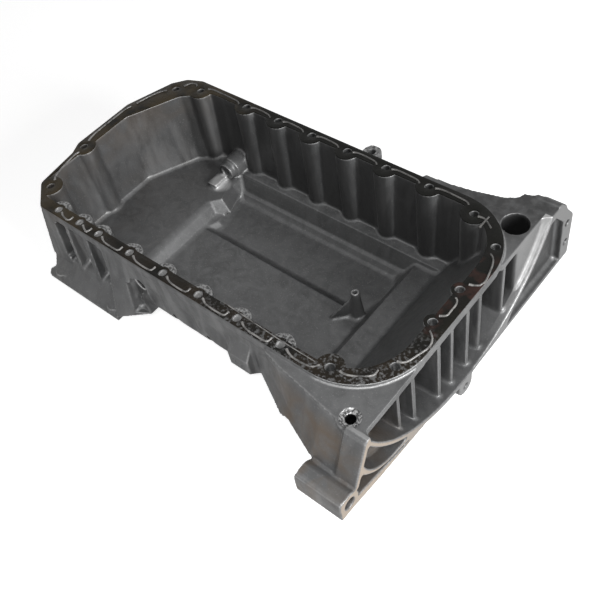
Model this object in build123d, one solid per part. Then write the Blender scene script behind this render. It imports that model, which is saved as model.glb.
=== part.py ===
from build123d import *
from math import atan, degrees
import os

# Engine oil pan: one aluminium casting and the moulded gasket on its sealing face.
# +Z up, +X towards the gearbox, +Y across to the far long side.  All sizes are in millimetres.
# Sizes are measured from the middle of the sealing rim, and depths down from the sealing face.
# The finished pieces are moved along X to put the origin in the middle of the outer side screws.

# ---------------------------------------------------------------- sealing rim
rim_end = 215.0                 # origin to either end of the rim
rim_side = 109.5                # origin to either long edge of the rim
rim_thickness = 9.0
rim_corner_radius = 64.0        # both corners at the gearbox end
# front corners, as insets from the end and from the side
near_corner = ((37.0, 0.0), (12.0, 21.5), (6.0, 67.5), (0.0, 80.5))
far_corner = ((0.0, 69.5), (17.0, 19.5), (28.0, 6.5), (45.0, 0.0))
front_blend = 9.0

# ---------------------------------------------------------------- rim screws
screw_hole_radius = 3.5
screw_inset = 7.7               # long edge of the rim to its row of screws
end_screw_inset = 13.6          # gearbox end of the rim to its row of screws
column_radius = 12.0            # half-round columns on the walls, one at each screw
end_column_radius = 7.5         # the same on the sloping wall at the gearbox end
far_channel_radius = 7.5        # channels outside the far wall that reach the screw heads
near_channel_radius = 5.5
screw_seat = 12.0               # depth at which those channels start
short_screw = 1                 # near screw whose hole stops above the level sensor
short_screw_depth = 22.0
side_screws = (-101.5, -59.5, -17.0, 26.0, 70.0, 116.5)
near_front_screws = (-158.5, -128.0)
end_screws = (-68.5, -19.0, 19.0, 72.0)
rear_corner_screws = ((53.6, 12.9), (48.0, 15.0))                       # insets, near one then far one
front_corner_screws = ((24.0, 24.5), (53.5, 13.0), (27.5, 24.0))        # near one, then two far ones
front_screw = (9.0, -28.5)

# ---------------------------------------------------------------- tub
wall = 5.0
tub_far = rim_side - 10.5       # origin to the inner face of the far wall
tub_near = rim_side - 12.5
tub_front = rim_end - 13.0
tub_rear = rim_end - 15.5
tub_rear_radius = 52.0
tub_front_near_radius = 24.0
tub_front_blend = 12.0
front_cut = (27.0, 74.0, 20.0, 54.0)    # the two facets of the far front corner
floor_depth = 96.0
shallow_depth = floor_depth - 13.0
front_wall_slope = 2.5          # lean of the front wall, degrees
shallow_end = 114.5             # origin to the rear edge of the shallow floor
shallow_drop = 10.0             # length of the slope behind the shallow floor
shallow_blend = 9.0
ledge_depth = floor_depth - 17.0        # ledge along the far wall, under the columns
ledge_fall = 3.0
ledge_width = 15.0
floor_far = tub_far - 25.5      # where the far bank meets the floor
floor_rear = 106.0
step_run = 8.0
rear_floor_depth = floor_depth - 10.0
rear_foot = rim_end - 77.0      # foot of the sloping rear wall
near_wall_turn = floor_depth - 46.0     # depth at which the near wall turns under
near_bulge_radius = 57.0
near_lobe_radius = 45.0         # lobes of the near wall's outside, one at each screw
near_lobe_start = 22.0

# ---------------------------------------------------------------- trough in the floor
trough_depth = floor_depth + 6.0
trough_taper = 45.0
# corners of the bed, as x and the distance from the foot of the far bank
trough_corners = (
    (-101.0, 7.5),
    (-96.0, 29.0),
    (-92.5, 48.0),
    (-96.0, 57.0),
    (100.0, 58.5),
    (106.0, 35.5),
    (107.0, 21.5),
    (98.0, 7.5),
)
trough_blend = 5.0

# ---------------------------------------------------------------- baffle post, corner drain and level sensor
post_place = (floor_rear - 8.0, 9.4)
post_height = 32.5
post_top_radius = 3.9
post_foot_radius = 6.8
post_thread_radius = 2.1
post_thread_depth = 12.0
post_web = (27.0, 226.0, 25.0)  # length, direction in degrees and height
drain_place = (-shallow_end - 6.5, 11.0 - shallow_depth)    # x and z of the drain axis, which runs along Y
drain_face = tub_far - 30.0
drain_boss_radius = 9.0
drain_collar = (8.0, 11.5)      # set-back and radius of the thicker part behind the face
drain_bore_radius = 5.0
drain_pad = (12.0, 20.0, 5.5)   # length, width and height
drain_cheek = ((4.0, 69.0), (-8.0, 55.0), (0.5, 32.5), (10.0, 19.0), (10.0, 69.0))
sensor_place = (-55.5, -36.0)   # x and z of the sensor bore, which runs along Y
sensor_seat = rim_side - 3.5    # origin to the recessed face around the bore
sensor_seat_radius = 9.5
sensor_bore_radius = 5.5
sensor_slot = (13.0, 40.0)      # width and height of the recess under it
sensor_lug = (6.0, 5.0)         # size and height of the locating lug in the recess

# ---------------------------------------------------------------- gearbox face
bell_face = rim_end + 7.0       # origin to the gearbox face
bell_depth = 20.0
bell_web = 4.5                  # back of the pockets in the gearbox face
bell_edge = 4.0                 # rims around the pockets
flywheel_radius = 141.0
flywheel_height = 57.4          # crank axis above the sealing face
shelf_wall = 4.5
shelf_side = 104.0
shelf_length = 80.0
bell_bottom = 87.0
bell_far_side = 170.5
rib_thickness = 4.0
rib_face = bell_face - 7.5
rib_start = 130.0
ribs = (-84.1, -65.0, -30.0, -11.2, 11.0, 29.5, 65.5, 84.2)
web_face = bell_face - 7.0      # closing web under the far ear

# ---------------------------------------------------------------- near ear and its gearbox bolt
ear_drop = 3.0                  # top of both ears, below the sealing face
ear_thickness = 7.0
ear_screw = (bell_face - 23.0, -rim_side - 11.5)
ear_screw_radius = 4.25
ear_spotface_radius = 8.5
ear_spotface_depth = 1.2
ear_boss_radius = 11.0
ear_bore_depth = 30.0
near_bolt = (-rim_side - 49.2, -52.0)   # y and z of the lower gearbox bolt
near_bolt_boss = 11.0
near_bolt_radius = 5.5
near_bolt_back = bell_face - 45.0
near_bolt_pad = 12.0
near_bar = (bell_face - 20.0, rim_side + 17.0, rim_side + 24.0, 3.0)    # start, two edges and height
web_sections = (                # ear's side web: x, then outward reach and depth of its top, fold and foot
    (88.0, -0.5, 26.0, -0.7, 38.0, -1.5, 56.0),
    (108.0, 2.0, 12.0, 3.8, 38.0, 9.0, 60.0),
    (128.0, 7.1, 4.0, 12.2, 38.0, 20.3, 56.0),
    (140.0, 8.7, 4.0, 19.0, 38.0, 24.0, 46.0),
    (177.0, 15.3, 4.0, 36.5, 40.0, 39.0, 45.0),
    (222.0, 23.5, 4.0, 40.5, 42.0, 42.2, 45.4),
)

# ---------------------------------------------------------------- far ear
far_ear_hole = (bell_face - 21.8, rim_side - 4.0)
far_ear_hole_radius = 12.0
far_ear_hole_depth = 36.0
far_ear_tube = 14.6             # outer radius of the tube round that hole
# outer edge of the plate, as x and the distance past the rim
far_edge = (
    (101.0, 0.0),
    (104.0, 7.0),
    (128.0, 8.0),
    (150.0, 11.5),
    (176.5, 18.0),
    (186.0, 24.0),
    (188.5, 30.5),
    (197.0, 33.0),
)
far_bar = (bell_face - 24.0, rim_side + 30.0, rim_side + 35.5, 1.5)
far_bolts = ((160.0, -39.0), (162.0, -65.5))
far_pocket_depth = 7.5
far_pocket_side = 154.5
far_bolt_radius = 3.5
far_lug = (46.0, rim_side + 3.5)
far_lug_radius = 9.0
far_lug_hole = 3.5

# ---------------------------------------------------------------- lug under the gearbox face
lug = (-1.3, -bell_bottom - 9.0)
lug_radius = 10.0
lug_hole_radius = 3.0
lug_length = 15.0

# ---------------------------------------------------------------- side mount on the near wall
mount_start = -191.0
mount_end = -87.5
mount_out = rim_side + 18.9     # origin to the mount's outer edge
mount_depth = 91.0
mount_lip = 5.0
mount_root = rim_side + 2.5
mount_root_depth = 64.0
mount_bolts = (-175.0, -96.5)
mount_boss_radius = 8.0
mount_boss_height = 12.0
mount_hole_radius = 4.25
mount_hole_depth = 9.0
side_ribs = ((-147.5, -143.5), (-122.0, -115.5), (-101.6, -72.8))
side_rib_flare = 4.5
side_corner = ((55.0, 14.5), (55.0, 0.0), (36.5, 0.0), (13.0, 20.5), (12.0, 49.5), (25.0, 49.5))
side_corner_foot = ((55.0, 14.5), (55.0, -4.5), (25.0, -4.5), (10.5, 12.5), (10.0, 49.5), (25.0, 49.5))
bulge_start = side_ribs[-1][1]
gusset_end = -54.0
gusset_depth = 77.0

# ---------------------------------------------------------------- clip block on the near wall
clip = (63.0, 86.0)             # its two ends along X
clip_out = rim_side + 7.5
clip_top = 16.0
clip_front = (34.0, 50.0)
clip_holes = ((70.0, -41.0), (76.0, -44.0))
clip_hole_radius = 1.6
clip_hole_depth = 6.0

# ---------------------------------------------------------------- gasket
gasket_thickness = 1.2
gasket_inset = 0.7
gasket_hole_radius = 4.2
gasket_near_ring = 6.2          # outer radius of the rings round the holes of the near row
gasket_end_ring = 7.0           # the same at the gearbox end

high = 10.0                     # how far cutters reach past a face


# ---------------------------------------------------------------- helpers
def across(x, length, sketch):
    """A sketch drawn in Y and Z, made solid from x towards +X."""
    plane = Plane((x, 0, 0), x_dir=(0, 1, 0), z_dir=(1, 0, 0))
    return extrude(plane * sketch, length)


def along(y, length, sketch):
    """A sketch drawn in X and Z, made solid from y towards -Y."""
    plane = Plane((0, y, 0), x_dir=(1, 0, 0), z_dir=(0, -1, 0))
    return extrude(plane * sketch, length)


def between(bottom, top, sketch):
    """A plan sketch made solid between two heights."""
    return extrude(Plane.XY.offset(bottom) * sketch, top - bottom)


def polygon(*points):
    """A straight-sided face."""
    return make_face(Polyline(*points, close=True))


def disc(centre, radius):
    """A round face."""
    return Pos(*centre) * Circle(radius)


def rounded(sketch, radius, places):
    """The sketch with its corners at the given places rounded."""
    corners = [v for v in sketch.vertices() if any((v.center() - Vector(*p)).length < 0.01 for p in places)]
    return fillet(corners, radius)


# ---------------------------------------------------------------- outlines in plan
def rim_outline():
    """Outside edge of the sealing rim."""
    front = [(x - rim_end, y - rim_side) for x, y in near_corner]
    front += [(x - rim_end, rim_side - y) for x, y in far_corner]
    rear = [(rim_end, rim_side), (rim_end, -rim_side)]
    outline = rounded(polygon(*front, *rear), rim_corner_radius, rear)
    return rounded(outline, front_blend, front)


def tub_outline():
    """Inner faces of the tub walls."""
    facet_x, facet_start, facet_y, facet_end = front_cut
    front_near = (-tub_front, -tub_near)
    facets = [
        (-tub_front, tub_far - facet_start),
        (-tub_front + facet_x, tub_far - facet_y),
        (-tub_front + facet_end, tub_far),
    ]
    rear = [(tub_rear, tub_far), (tub_rear, -tub_near)]
    outline = rounded(polygon(front_near, *facets, *rear), tub_rear_radius, rear)
    outline = rounded(outline, tub_front_near_radius, [front_near])
    return rounded(outline, tub_front_blend, facets)


def side_row(side, places):
    """Screw centres of one long edge."""
    return [(x, side * (rim_side - screw_inset)) for x in places]


def end_row():
    """Screw centres at the gearbox end."""
    return [(rim_end - end_screw_inset, y) for y in end_screws]


def corner_places():
    """Centres of the screws at the four corners and in the front wall."""
    near, *far = front_corner_screws
    places = [(near[0] - rim_end, near[1] - rim_side)]
    places += [(x - rim_end, rim_side - y) for x, y in far]
    near, far = rear_corner_screws
    places += [(rim_end - near[0], near[1] - rim_side), (rim_end - far[0], rim_side - far[1])]
    return places + [(front_screw[0] - rim_end, front_screw[1])]


def screw_places():
    """Centres of all rim screws."""
    places = side_row(1, side_screws) + side_row(-1, near_front_screws + side_screws)
    return places + end_row() + corner_places()


# ---------------------------------------------------------------- sections of the tub
def length_profile():
    """Inside of the tub seen from its long side, in X and Z."""
    shallow_edge = (-shallow_end, -shallow_depth)
    shallow_foot = (-shallow_end + shallow_drop, -floor_depth)
    rear_edge = (floor_rear + step_run, -rear_floor_depth)
    profile = polygon(
        (-tub_front - high, high),
        (-tub_front - high, -shallow_depth),
        shallow_edge,
        shallow_foot,
        (floor_rear, -floor_depth),
        rear_edge,
        (rear_foot, -rear_floor_depth),
        (tub_rear, -rim_thickness),
        (tub_rear, high),
    )
    return rounded(profile, shallow_blend, [shallow_edge, (rear_foot, -rear_floor_depth)])


def cross_profile(grow=0.0):
    """Inside of the tub seen from its end, in Y and Z; with grow, its outside."""
    radius = floor_depth - near_wall_turn
    turn = (-tub_near + radius, -floor_depth - grow)
    if grow:
        radius = near_bulge_radius
        turn = (-rim_side + 1.0 + radius, -floor_depth - grow)
    side = turn[0] - radius
    outline = Polyline(
        turn,
        (floor_far + grow * 0.6, -floor_depth - grow),
        (tub_far - ledge_width + grow * 0.8, -ledge_depth - ledge_fall - grow * 0.8),
        (tub_far + grow, -ledge_depth - grow * 0.8),
        (tub_far + grow, high),
        (side, high),
        (side, turn[1] + radius),
    )
    curve = RadiusArc(outline @ 1, turn, -radius)
    return make_face(outline + curve)


def tub_cavity():
    """Everything that is open inside the tub."""
    plan = extrude(tub_outline(), -floor_depth - high, taper=front_wall_slope)
    plan += between(0, high, tub_outline())
    cavity = plan & along(rim_side * 2, rim_side * 4, length_profile())
    cavity = cavity & across(-rim_end * 2, rim_end * 4, cross_profile())
    places = side_row(1, side_screws) + side_row(-1, near_front_screws + side_screws) + corner_places()
    columns = Sketch() + [disc(place, column_radius) for place in places]
    columns += Sketch() + [disc(place, end_column_radius) for place in end_row()]
    cavity = cavity - between(-floor_depth - high, high, columns)
    corners = [(x, floor_far - y) for x, y in trough_corners]
    bed = Plane.XY.offset(-trough_depth) * polygon(*corners)
    trough = extrude(bed, trough_depth - floor_depth + 0.5, taper=-trough_taper)
    return cavity + trough


def near_grooves():
    """Hollows between the lobes of the near wall's outside."""
    row = [(x, -rim_side + 1.0 + near_lobe_radius) for x in side_screws[1:5]]
    start = near_lobe_start
    profile = polygon(
        (-rim_side - high, -start),
        (-rim_side, -start),
        (-rim_side + 8.0, -start - 30.0),
        (-rim_side + 12.0, -floor_depth - high),
        (-rim_side - high, -floor_depth - high),
    )
    first, last = gusset_end + 2 * wall, clip[0] - 2 * wall
    block = across(first, last - first, profile)
    lobes = Sketch() + [disc(place, near_lobe_radius) for place in row]
    return block - between(-floor_depth - 2 * high, 0, lobes)


def tub_body():
    """The tub's outside, before it is hollowed."""
    plan = offset(tub_outline(), wall) + polygon(
        (bulge_start, -rim_side + 1.0),
        (rim_end - rim_corner_radius, -rim_side + 1.0),
        (rim_end - rim_corner_radius, 0),
        (bulge_start, 0),
    )
    body = between(-floor_depth - high, -rim_thickness / 2, plan)
    body = body & along(rim_side * 2, rim_side * 4, offset(length_profile(), wall, kind=Kind.INTERSECTION))
    body = body & across(-rim_end * 2, rim_end * 4, cross_profile(wall))
    corners = [(x, floor_far - y) for x, y in trough_corners]
    bed = offset(polygon(*corners), wall, kind=Kind.INTERSECTION)
    return body - near_grooves() + between(-trough_depth - wall, -floor_depth, bed)


def rim():
    """The sealing flange with the small lug on its far edge."""
    plate = between(-rim_thickness, 0, rim_outline())
    return plate + between(-rim_thickness, 0, disc(far_lug, far_lug_radius))


def post():
    """Tapered post that carries the baffle, with the web that steadies it."""
    foot = Plane.XY.offset(-floor_depth - wall / 2) * disc(post_place, post_foot_radius)
    top = Plane.XY.offset(-floor_depth + post_height) * disc(post_place, post_top_radius)
    reach, direction, height = post_web
    way = Vector(1, 0, 0).rotate(Axis.Z, direction)
    side = Plane((*post_place, -floor_depth), x_dir=way, z_dir=way.cross(Vector(0, 0, 1)))
    foot_line = ((0, -wall / 2), (reach, -wall / 2))
    fin = side * polygon(*foot_line, (reach, 1), (post_top_radius, height), (0, height))
    return loft([foot.face(), top.face()]) + extrude(fin, rib_thickness / 4, both=True)


def drain():
    """Boss of the corner drain, the pad in front of it and the cheek beside it."""
    setback, radius = drain_collar
    boss = along(rim_side, rim_side - drain_face, disc(drain_place, drain_boss_radius))
    boss += along(rim_side, rim_side - drain_face - setback, disc(drain_place, radius))
    length, width, height = drain_pad
    pad = Pos(drain_place[0] - length / 2, drain_face + wall - width / 2 - 3) * Rectangle(length, width)
    cheek = polygon(*[(-shallow_end - x, tub_far - y) for x, y in drain_cheek])
    depth = floor_depth - shallow_depth
    foot = Plane.XY.offset(-floor_depth) * offset(cheek, shallow_drop, kind=Kind.INTERSECTION)
    boss += extrude(foot, depth, taper=degrees(atan(shallow_drop / depth)))
    return boss + between(-floor_depth, -shallow_depth + height, pad)


# ---------------------------------------------------------------- gearbox end
def bell_outline():
    """Outline of the gearbox face, in Y and Z."""
    y, z = near_bolt
    far = rim_side + 35.5
    near_side = [
        (-rim_side - 24.0, -ear_drop),
        (y + near_bolt_boss - 4, z + near_bolt_boss * 0.6),
        (y, z),
        (y, z - near_bolt_pad),
        (-121.6, 17.7 - bell_bottom),
        (-55.7, 11.6 - bell_bottom),
        (-33.0, 3.5 - bell_bottom),
        (-12.0, -bell_bottom),
    ]
    far_side = [
        (bell_far_side, -bell_bottom),
        (bell_far_side, -37.0),
        (bell_far_side - 1.7, -33.2),
        (far + 12.5, -19.0),
        (far + 8.5, -10.5),
        (far, -ear_drop),
    ]
    return polygon(*near_side, *far_side)


def flywheel(radius):
    """A disc about the crank axis, in Y and Z."""
    return disc((0, flywheel_height), radius)


def near_pocket():
    """Pocket in the gearbox face between the flywheel arc and the near ear's edge."""
    curve = Spline((-138.5, -20.0), (-133.5, -38.0), (-118.5, -54.8), (-102.0, -60.8), (-80.0, -60.0))
    edge = Polyline(curve @ 1, (-80.0, -ear_drop - 5), (-135.5, -ear_drop - 5), curve @ 0)
    return make_face(curve + edge) - flywheel(flywheel_radius + shelf_wall)


def lower_pocket():
    """Slim recess under the near pocket."""
    upper = Spline((-143.5, -31.5), (-134.7, -44.5), (-121.8, -56.0), (-103.0, -62.9), (-73.0, -71.0))
    lower = Polyline(upper @ 1, (-94.8, -67.3), (-122.4, -61.0), (-149.3, -55.5), (-150.5, -47.0), upper @ 0)
    return make_face(upper + lower)


def far_pocket():
    """Tall pocket between the flywheel arc and the far edge of the gearbox face."""
    bottom = -bell_bottom + bell_edge
    top = -ear_drop - ear_thickness - 2
    side = far_pocket_side
    outer = polygon((64.0, bottom), (side, bottom), (side - 3, -30.0), (side - 18.5, top), (110.0, top))
    return outer - flywheel(flywheel_radius + shelf_wall)


def strip(first, last, low=-200.0):
    """An upright band below the sealing face, in Y and Z."""
    return polygon((first, 0), (last, 0), (last, low), (first, low))


def bell():
    """Gearbox face: flange, pockets, flywheel shelf, ribs and lug."""
    back = bell_face - bell_depth
    flange = across(back, bell_depth, bell_outline())
    pockets = across(back + bell_web, bell_depth, near_pocket() + lower_pocket())
    pockets += across(bell_face - far_pocket_depth, far_pocket_depth, far_pocket())
    below = Pos(0, -ear_drop - 1) * strip(-200, 200)
    ring = (flywheel(flywheel_radius + shelf_wall) - flywheel(flywheel_radius)) & below
    shelf = across(bell_face - shelf_length, shelf_length, ring & strip(-shelf_side, shelf_side))
    solid = flange - pockets - across(0, bell_face * 2, flywheel(flywheel_radius)) + shelf
    solid += across(back, bell_depth, ring)
    inside = flywheel(flywheel_radius + shelf_wall / 2) & below
    for y in ribs:
        rib = strip(y - rib_thickness / 2, y + rib_thickness / 2)
        solid += across(rib_start, rib_face - rib_start, rib & inside)
    solid += across(web_face - bell_web, bell_web, strip(ribs[-1], 200) & inside)
    upper = -bell_bottom + 2
    hanger = Pos(lug[0], (lug[1] + upper) / 2) * Rectangle(lug_radius * 2, upper - lug[1])
    low = across(bell_face - lug_length, lug_length, disc(lug, lug_radius) + hanger)
    return solid + (low - across(0, bell_face * 2, flywheel(flywheel_radius)))


def ear_bar(side, bar):
    """Raised bar on the outer edge of an ear."""
    x, inner, outer, height = bar
    foot = -ear_drop - 1
    profile = polygon(
        (side * inner, foot),
        (side * (inner + 0.5), -ear_drop + height),
        (side * (outer - 3.0), -ear_drop + height),
        (side * outer, -ear_drop),
        (side * outer, foot),
    )
    return across(x, bell_face - x, profile)


def near_ear():
    """Top plate, side web and bolt boss on the near side."""
    top = -ear_drop
    edge = [(x, -rim_side - reach - 1) for x, reach, *rest in web_sections[1:-1]]
    corner = [(bell_face, -rim_side - 24.0), (bell_face, -rim_side - 19.0)]
    corner += [(web_face, -rim_side - 12.5)]
    plate = polygon((web_sections[0][0], -rim_side + 20), *edge, *corner, (web_face, -50), (180, -50))
    solid = between(top - ear_thickness, top, plate + disc(ear_screw, ear_boss_radius))
    solid += between(top - ear_bore_depth - wall, top, disc(ear_screw, ear_boss_radius))
    sections = []
    for x, *profile in web_sections:
        outer = [(-rim_side - reach, -depth) for reach, depth in zip(profile[0::2], profile[1::2])]
        inner = [(y + wall, z) for y, z in reversed(outer)]
        plane = Plane((x, 0, 0), x_dir=(0, 1, 0), z_dir=(1, 0, 0))
        sections.append((plane * polygon(*outer, *inner)).face())
    solid += loft(sections, ruled=True)
    y, z = near_bolt
    radius = near_bolt_boss
    low = z - near_bolt_pad
    pad = polygon((y - radius, z), (y + radius, z), (y + radius * 0.7, low), (y - radius, low))
    solid += across(near_bolt_back, bell_face - near_bolt_back, disc(near_bolt, radius) + pad)
    return solid + ear_bar(-1, near_bar)


def far_ear():
    """Top plate on the far side, with its raised bar and the tube of the inspection hole."""
    top = -ear_drop
    outer = [(x, rim_side + y) for x, y in far_edge]
    corner = [(bell_face, rim_side + 34.5), (bell_face, rim_side + 18.5), (web_face, rim_side + 12.5)]
    plate = polygon((98, rim_side - 20), *outer, *corner, (web_face, 60), (180, 60))
    solid = between(top - ear_thickness, top, plate)
    solid += between(top - far_ear_hole_depth - wall, top, disc(far_ear_hole, far_ear_tube))
    return solid + ear_bar(1, far_bar)


# ---------------------------------------------------------------- near side
def side_mount():
    """Ribbed bracket at the front of the near wall."""
    root = -rim_side + 14.0
    wing = (
        (root, -mount_root_depth + 8),
        (-mount_root, -mount_root_depth),
        (-mount_out, -mount_depth + mount_lip),
        (-mount_out, -mount_depth),
        (-mount_out + 10, -mount_depth),
        (root, -mount_root_depth - 12),
    )
    solid = across(mount_start, mount_end - mount_start, polygon(*wing))
    hollow = polygon(
        (mount_start - 1, -mount_out + 3.5),
        (mount_start + 7, -mount_out + 7.5),
        (mount_start + 2, -mount_root + 1),
        (mount_start - 1, -mount_root + 3),
    )
    solid -= between(-mount_depth - high, 0, hollow)
    foot_depth = mount_root_depth + 2
    rib = polygon(
        (root, -rim_thickness),
        (-rim_side, -rim_thickness),
        (-rim_side - side_rib_flare, -foot_depth),
        (root, -foot_depth),
    )
    for start, end in side_ribs:
        solid += across(start, end - start, rib)
    corner = [(x - rim_end, y - rim_side) for x, y in side_corner]
    corner_foot = [(x - rim_end, y - rim_side) for x, y in side_corner_foot]
    top = Plane.XY.offset(-rim_thickness / 2) * polygon(*corner)
    foot = Plane.XY.offset(-foot_depth) * polygon(*corner_foot)
    solid += loft([foot.face(), top.face()], ruled=True)
    bosses = Sketch() + [disc((x, -mount_out + mount_boss_radius), mount_boss_radius) for x in mount_bolts]
    solid += between(-mount_depth, -mount_depth + mount_boss_height, bosses)
    panel = (
        (root, -rim_thickness),
        (-rim_side, -rim_thickness),
        (-rim_side, -gusset_depth),
        (root, -gusset_depth),
    )
    far_end = Plane((gusset_end, 0, 0), x_dir=(0, 1, 0), z_dir=(1, 0, 0)) * polygon(*panel)
    near_end = Plane((mount_end, 0, 0), x_dir=(0, 1, 0), z_dir=(1, 0, 0))
    near_end = near_end * polygon(*panel[:2], wing[2], panel[3])
    return solid + loft([near_end.face(), far_end.face()], ruled=True)


def clip_block():
    """Small block for a cable clip."""
    start, end = clip
    upper, lower = clip_front
    root = -rim_side + 4
    profile = polygon((root, -clip_top), (-clip_out, -upper), (-clip_out, -lower), (root, -lower - 12))
    return across(start, end - start, profile)


# ---------------------------------------------------------------- bores
def screw_bores():
    """Rim screw holes, with the channels that lead to the screw heads."""
    row = rim_side - screw_inset
    short = (side_screws[short_screw], -row)
    ends = [disc(place, screw_hole_radius) for place in end_row()]
    cuts = between(-rim_thickness * 4, high, Sketch() + ends)
    others = [place for place in screw_places() if place not in end_row() + [short]]
    through = [disc(place, screw_hole_radius) for place in others]
    cuts += between(-rim_thickness * 12, high, Sketch() + through)
    cuts += between(-short_screw_depth, high, disc(short, screw_hole_radius))
    for x in side_screws:
        channel = disc((x, row), far_channel_radius)
        channel += Pos(x, row * 1.5) * Rectangle(far_channel_radius * 2, row)
        cuts += between(-floor_depth * 2, -screw_seat, channel)
    for x in near_front_screws + side_screws[:1]:
        channel = disc((x, -row), near_channel_radius)
        channel += Pos(x, -row * 1.5) * Rectangle(near_channel_radius * 2, row)
        cuts += between(-mount_root_depth + 6, -screw_seat, channel)
    open_below = [disc((x, -row), near_channel_radius) for x in side_screws[short_screw + 1:]]
    return cuts + between(-floor_depth * 2, -screw_seat, Sketch() + open_below)


def bores():
    """Every hole in the casting."""
    cuts = screw_bores()
    cuts += between(-ear_drop - ear_bore_depth, high, disc(ear_screw, ear_screw_radius))
    cuts += between(-ear_drop - ear_spotface_depth, high, disc(ear_screw, ear_spotface_radius))
    cuts += between(-ear_drop - far_ear_hole_depth, high, disc(far_ear_hole, far_ear_hole_radius))
    cuts += between(-rim_thickness - high, high, disc(far_lug, far_lug_hole))
    cuts += across(near_bolt_back - high, bell_face, disc(near_bolt, near_bolt_radius))
    far = [disc(place, far_bolt_radius) for place in far_bolts]
    cuts += across(bell_face - bell_depth - high, bell_face, Sketch() + far)
    cuts += across(bell_face - lug_length - high, bell_face, disc(lug, lug_hole_radius))
    mounts = [disc((x, -mount_out + mount_boss_radius), mount_hole_radius) for x in mount_bolts]
    cuts += between(-mount_depth - high, -mount_depth + mount_hole_depth, Sketch() + mounts)
    cuts += along(-tub_near + 15, rim_side, disc(sensor_place, sensor_bore_radius))
    cuts += sensor_recess()
    outside = tub_far + 4 * wall
    cuts += along(outside, outside - drain_face + high, disc(drain_place, drain_bore_radius))
    cuts += between(-floor_depth + post_height - post_thread_depth, 0, disc(post_place, post_thread_radius))
    pair = [disc(place, clip_hole_radius) for place in clip_holes]
    cuts += along(-clip_out + clip_hole_depth, 2 * clip_hole_depth, Sketch() + pair)
    return cuts


def sensor_recess():
    """Recessed face around the sensor bore, with the locating lug left standing in it."""
    x, z = sensor_place
    width, height = sensor_slot
    size, lug_drop = sensor_lug
    slot = Pos(x - sensor_seat_radius + width / 2 - 4, z - height / 2) * Rectangle(width, height)
    stud = Pos(x - sensor_seat_radius + 1, z - height * 0.6) * Rectangle(size, size)
    lower = along(-sensor_seat, rim_side, slot - stud) + along(-sensor_seat - lug_drop / 2, rim_side, stud)
    return along(-sensor_seat, rim_side, disc(sensor_place, sensor_seat_radius)) + lower


# ---------------------------------------------------------------- the two pieces
def casting():
    """The whole cast pan."""
    outside = tub_body() + rim() + bell() + near_ear() + far_ear() + side_mount() + clip_block()
    return outside - (tub_cavity() - drain()) + post() - bores()


def gasket():
    """Moulded gasket on the sealing face."""
    sheet = offset(rim_outline(), -gasket_inset)
    near_row = side_row(-1, near_front_screws + side_screws)
    rings = [disc(place, gasket_near_ring) for place in near_row]
    rings += [disc(place, gasket_end_ring) for place in end_row()]
    rings += [disc(place, column_radius) for place in side_row(1, side_screws) + corner_places()]
    opening = tub_outline() - (Sketch() + rings)
    holes = Sketch() + [disc(p, gasket_hole_radius) for p in screw_places()]
    return between(0, gasket_thickness, sheet - opening - holes)


if __name__ == "__main__":
    os.makedirs("parts", exist_ok=True)
    place = Pos(-(side_screws[0] + side_screws[-1]) / 2, 0, 0)
    export_step(place * casting(), "parts/oil_pan_casting.step")
    export_step(place * gasket(), "parts/rim_gasket.step")
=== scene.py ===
"""Engine oil pan: the cast body, its moulded rim gasket and a plain studio around them."""

import logging
import math
from dataclasses import dataclass
from enum import Enum

import bpy
import numpy as np
from mathutils import Matrix, Vector

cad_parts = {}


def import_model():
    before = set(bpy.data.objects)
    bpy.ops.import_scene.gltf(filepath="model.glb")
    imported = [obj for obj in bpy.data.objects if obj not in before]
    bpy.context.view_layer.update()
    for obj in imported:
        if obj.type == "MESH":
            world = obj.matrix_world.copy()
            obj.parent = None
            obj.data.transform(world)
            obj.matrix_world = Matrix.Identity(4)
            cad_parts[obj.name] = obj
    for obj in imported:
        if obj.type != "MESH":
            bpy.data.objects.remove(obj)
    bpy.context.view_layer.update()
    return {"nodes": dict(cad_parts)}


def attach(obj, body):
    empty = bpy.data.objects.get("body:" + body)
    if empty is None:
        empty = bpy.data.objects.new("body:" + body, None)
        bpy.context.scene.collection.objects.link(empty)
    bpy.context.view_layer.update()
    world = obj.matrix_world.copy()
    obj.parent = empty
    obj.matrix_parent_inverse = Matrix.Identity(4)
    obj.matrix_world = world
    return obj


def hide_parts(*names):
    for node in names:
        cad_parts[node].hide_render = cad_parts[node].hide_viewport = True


LOG = logging.getLogger("oil_pan")
MM = 0.001
Colour = tuple[float, float, float, float]
Place = tuple[float, float, float]
Band = tuple[float, float]
Track = list[tuple[float, float]]
Socket = bpy.types.NodeSocket
WHITE: Colour = (1.0, 1.0, 1.0, 1.0)
MERGE_DISTANCE = 0.000002


class Slot(Enum):
    """Material slots of the part."""

    CASTING = "cast_aluminium"
    GASKET = "gasket_rubber"


class Node(Enum):
    """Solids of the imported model."""

    CASTING = "oil_pan_casting"
    GASKET = "rim_gasket"


class MixKind(Enum):
    """Kinds of Mix node: data type, the numbers of its two value inputs and of its output."""

    NUMBER = ("FLOAT", (2, 3), 0)
    COLOUR = ("RGBA", (6, 7), 2)


@dataclass(frozen=True)
class Pattern:
    """A noise pattern, and the part of its range that shows as a share.

    Attributes:
        scale: cells per metre.
        low: noise that gives the least share.
        high: noise that gives the most.
        detail: octaves.
        distortion: warp of the pattern.
        stretch: scale along each axis.
        least: smallest share.
        most: largest share.
    """

    scale: float
    low: float
    high: float
    detail: float = 3.0
    distortion: float = 0.0
    stretch: Place = (1.0, 1.0, 1.0)
    least: float = 0.0
    most: float = 1.0


@dataclass(frozen=True)
class Relief:
    """A layer of fine bumps.

    Attributes:
        scale: cells per metre.
        detail: octaves.
        strength: share of the bump that shows.
        depth: its depth in metres.
    """

    scale: float
    detail: float
    strength: float
    depth: float


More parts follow.
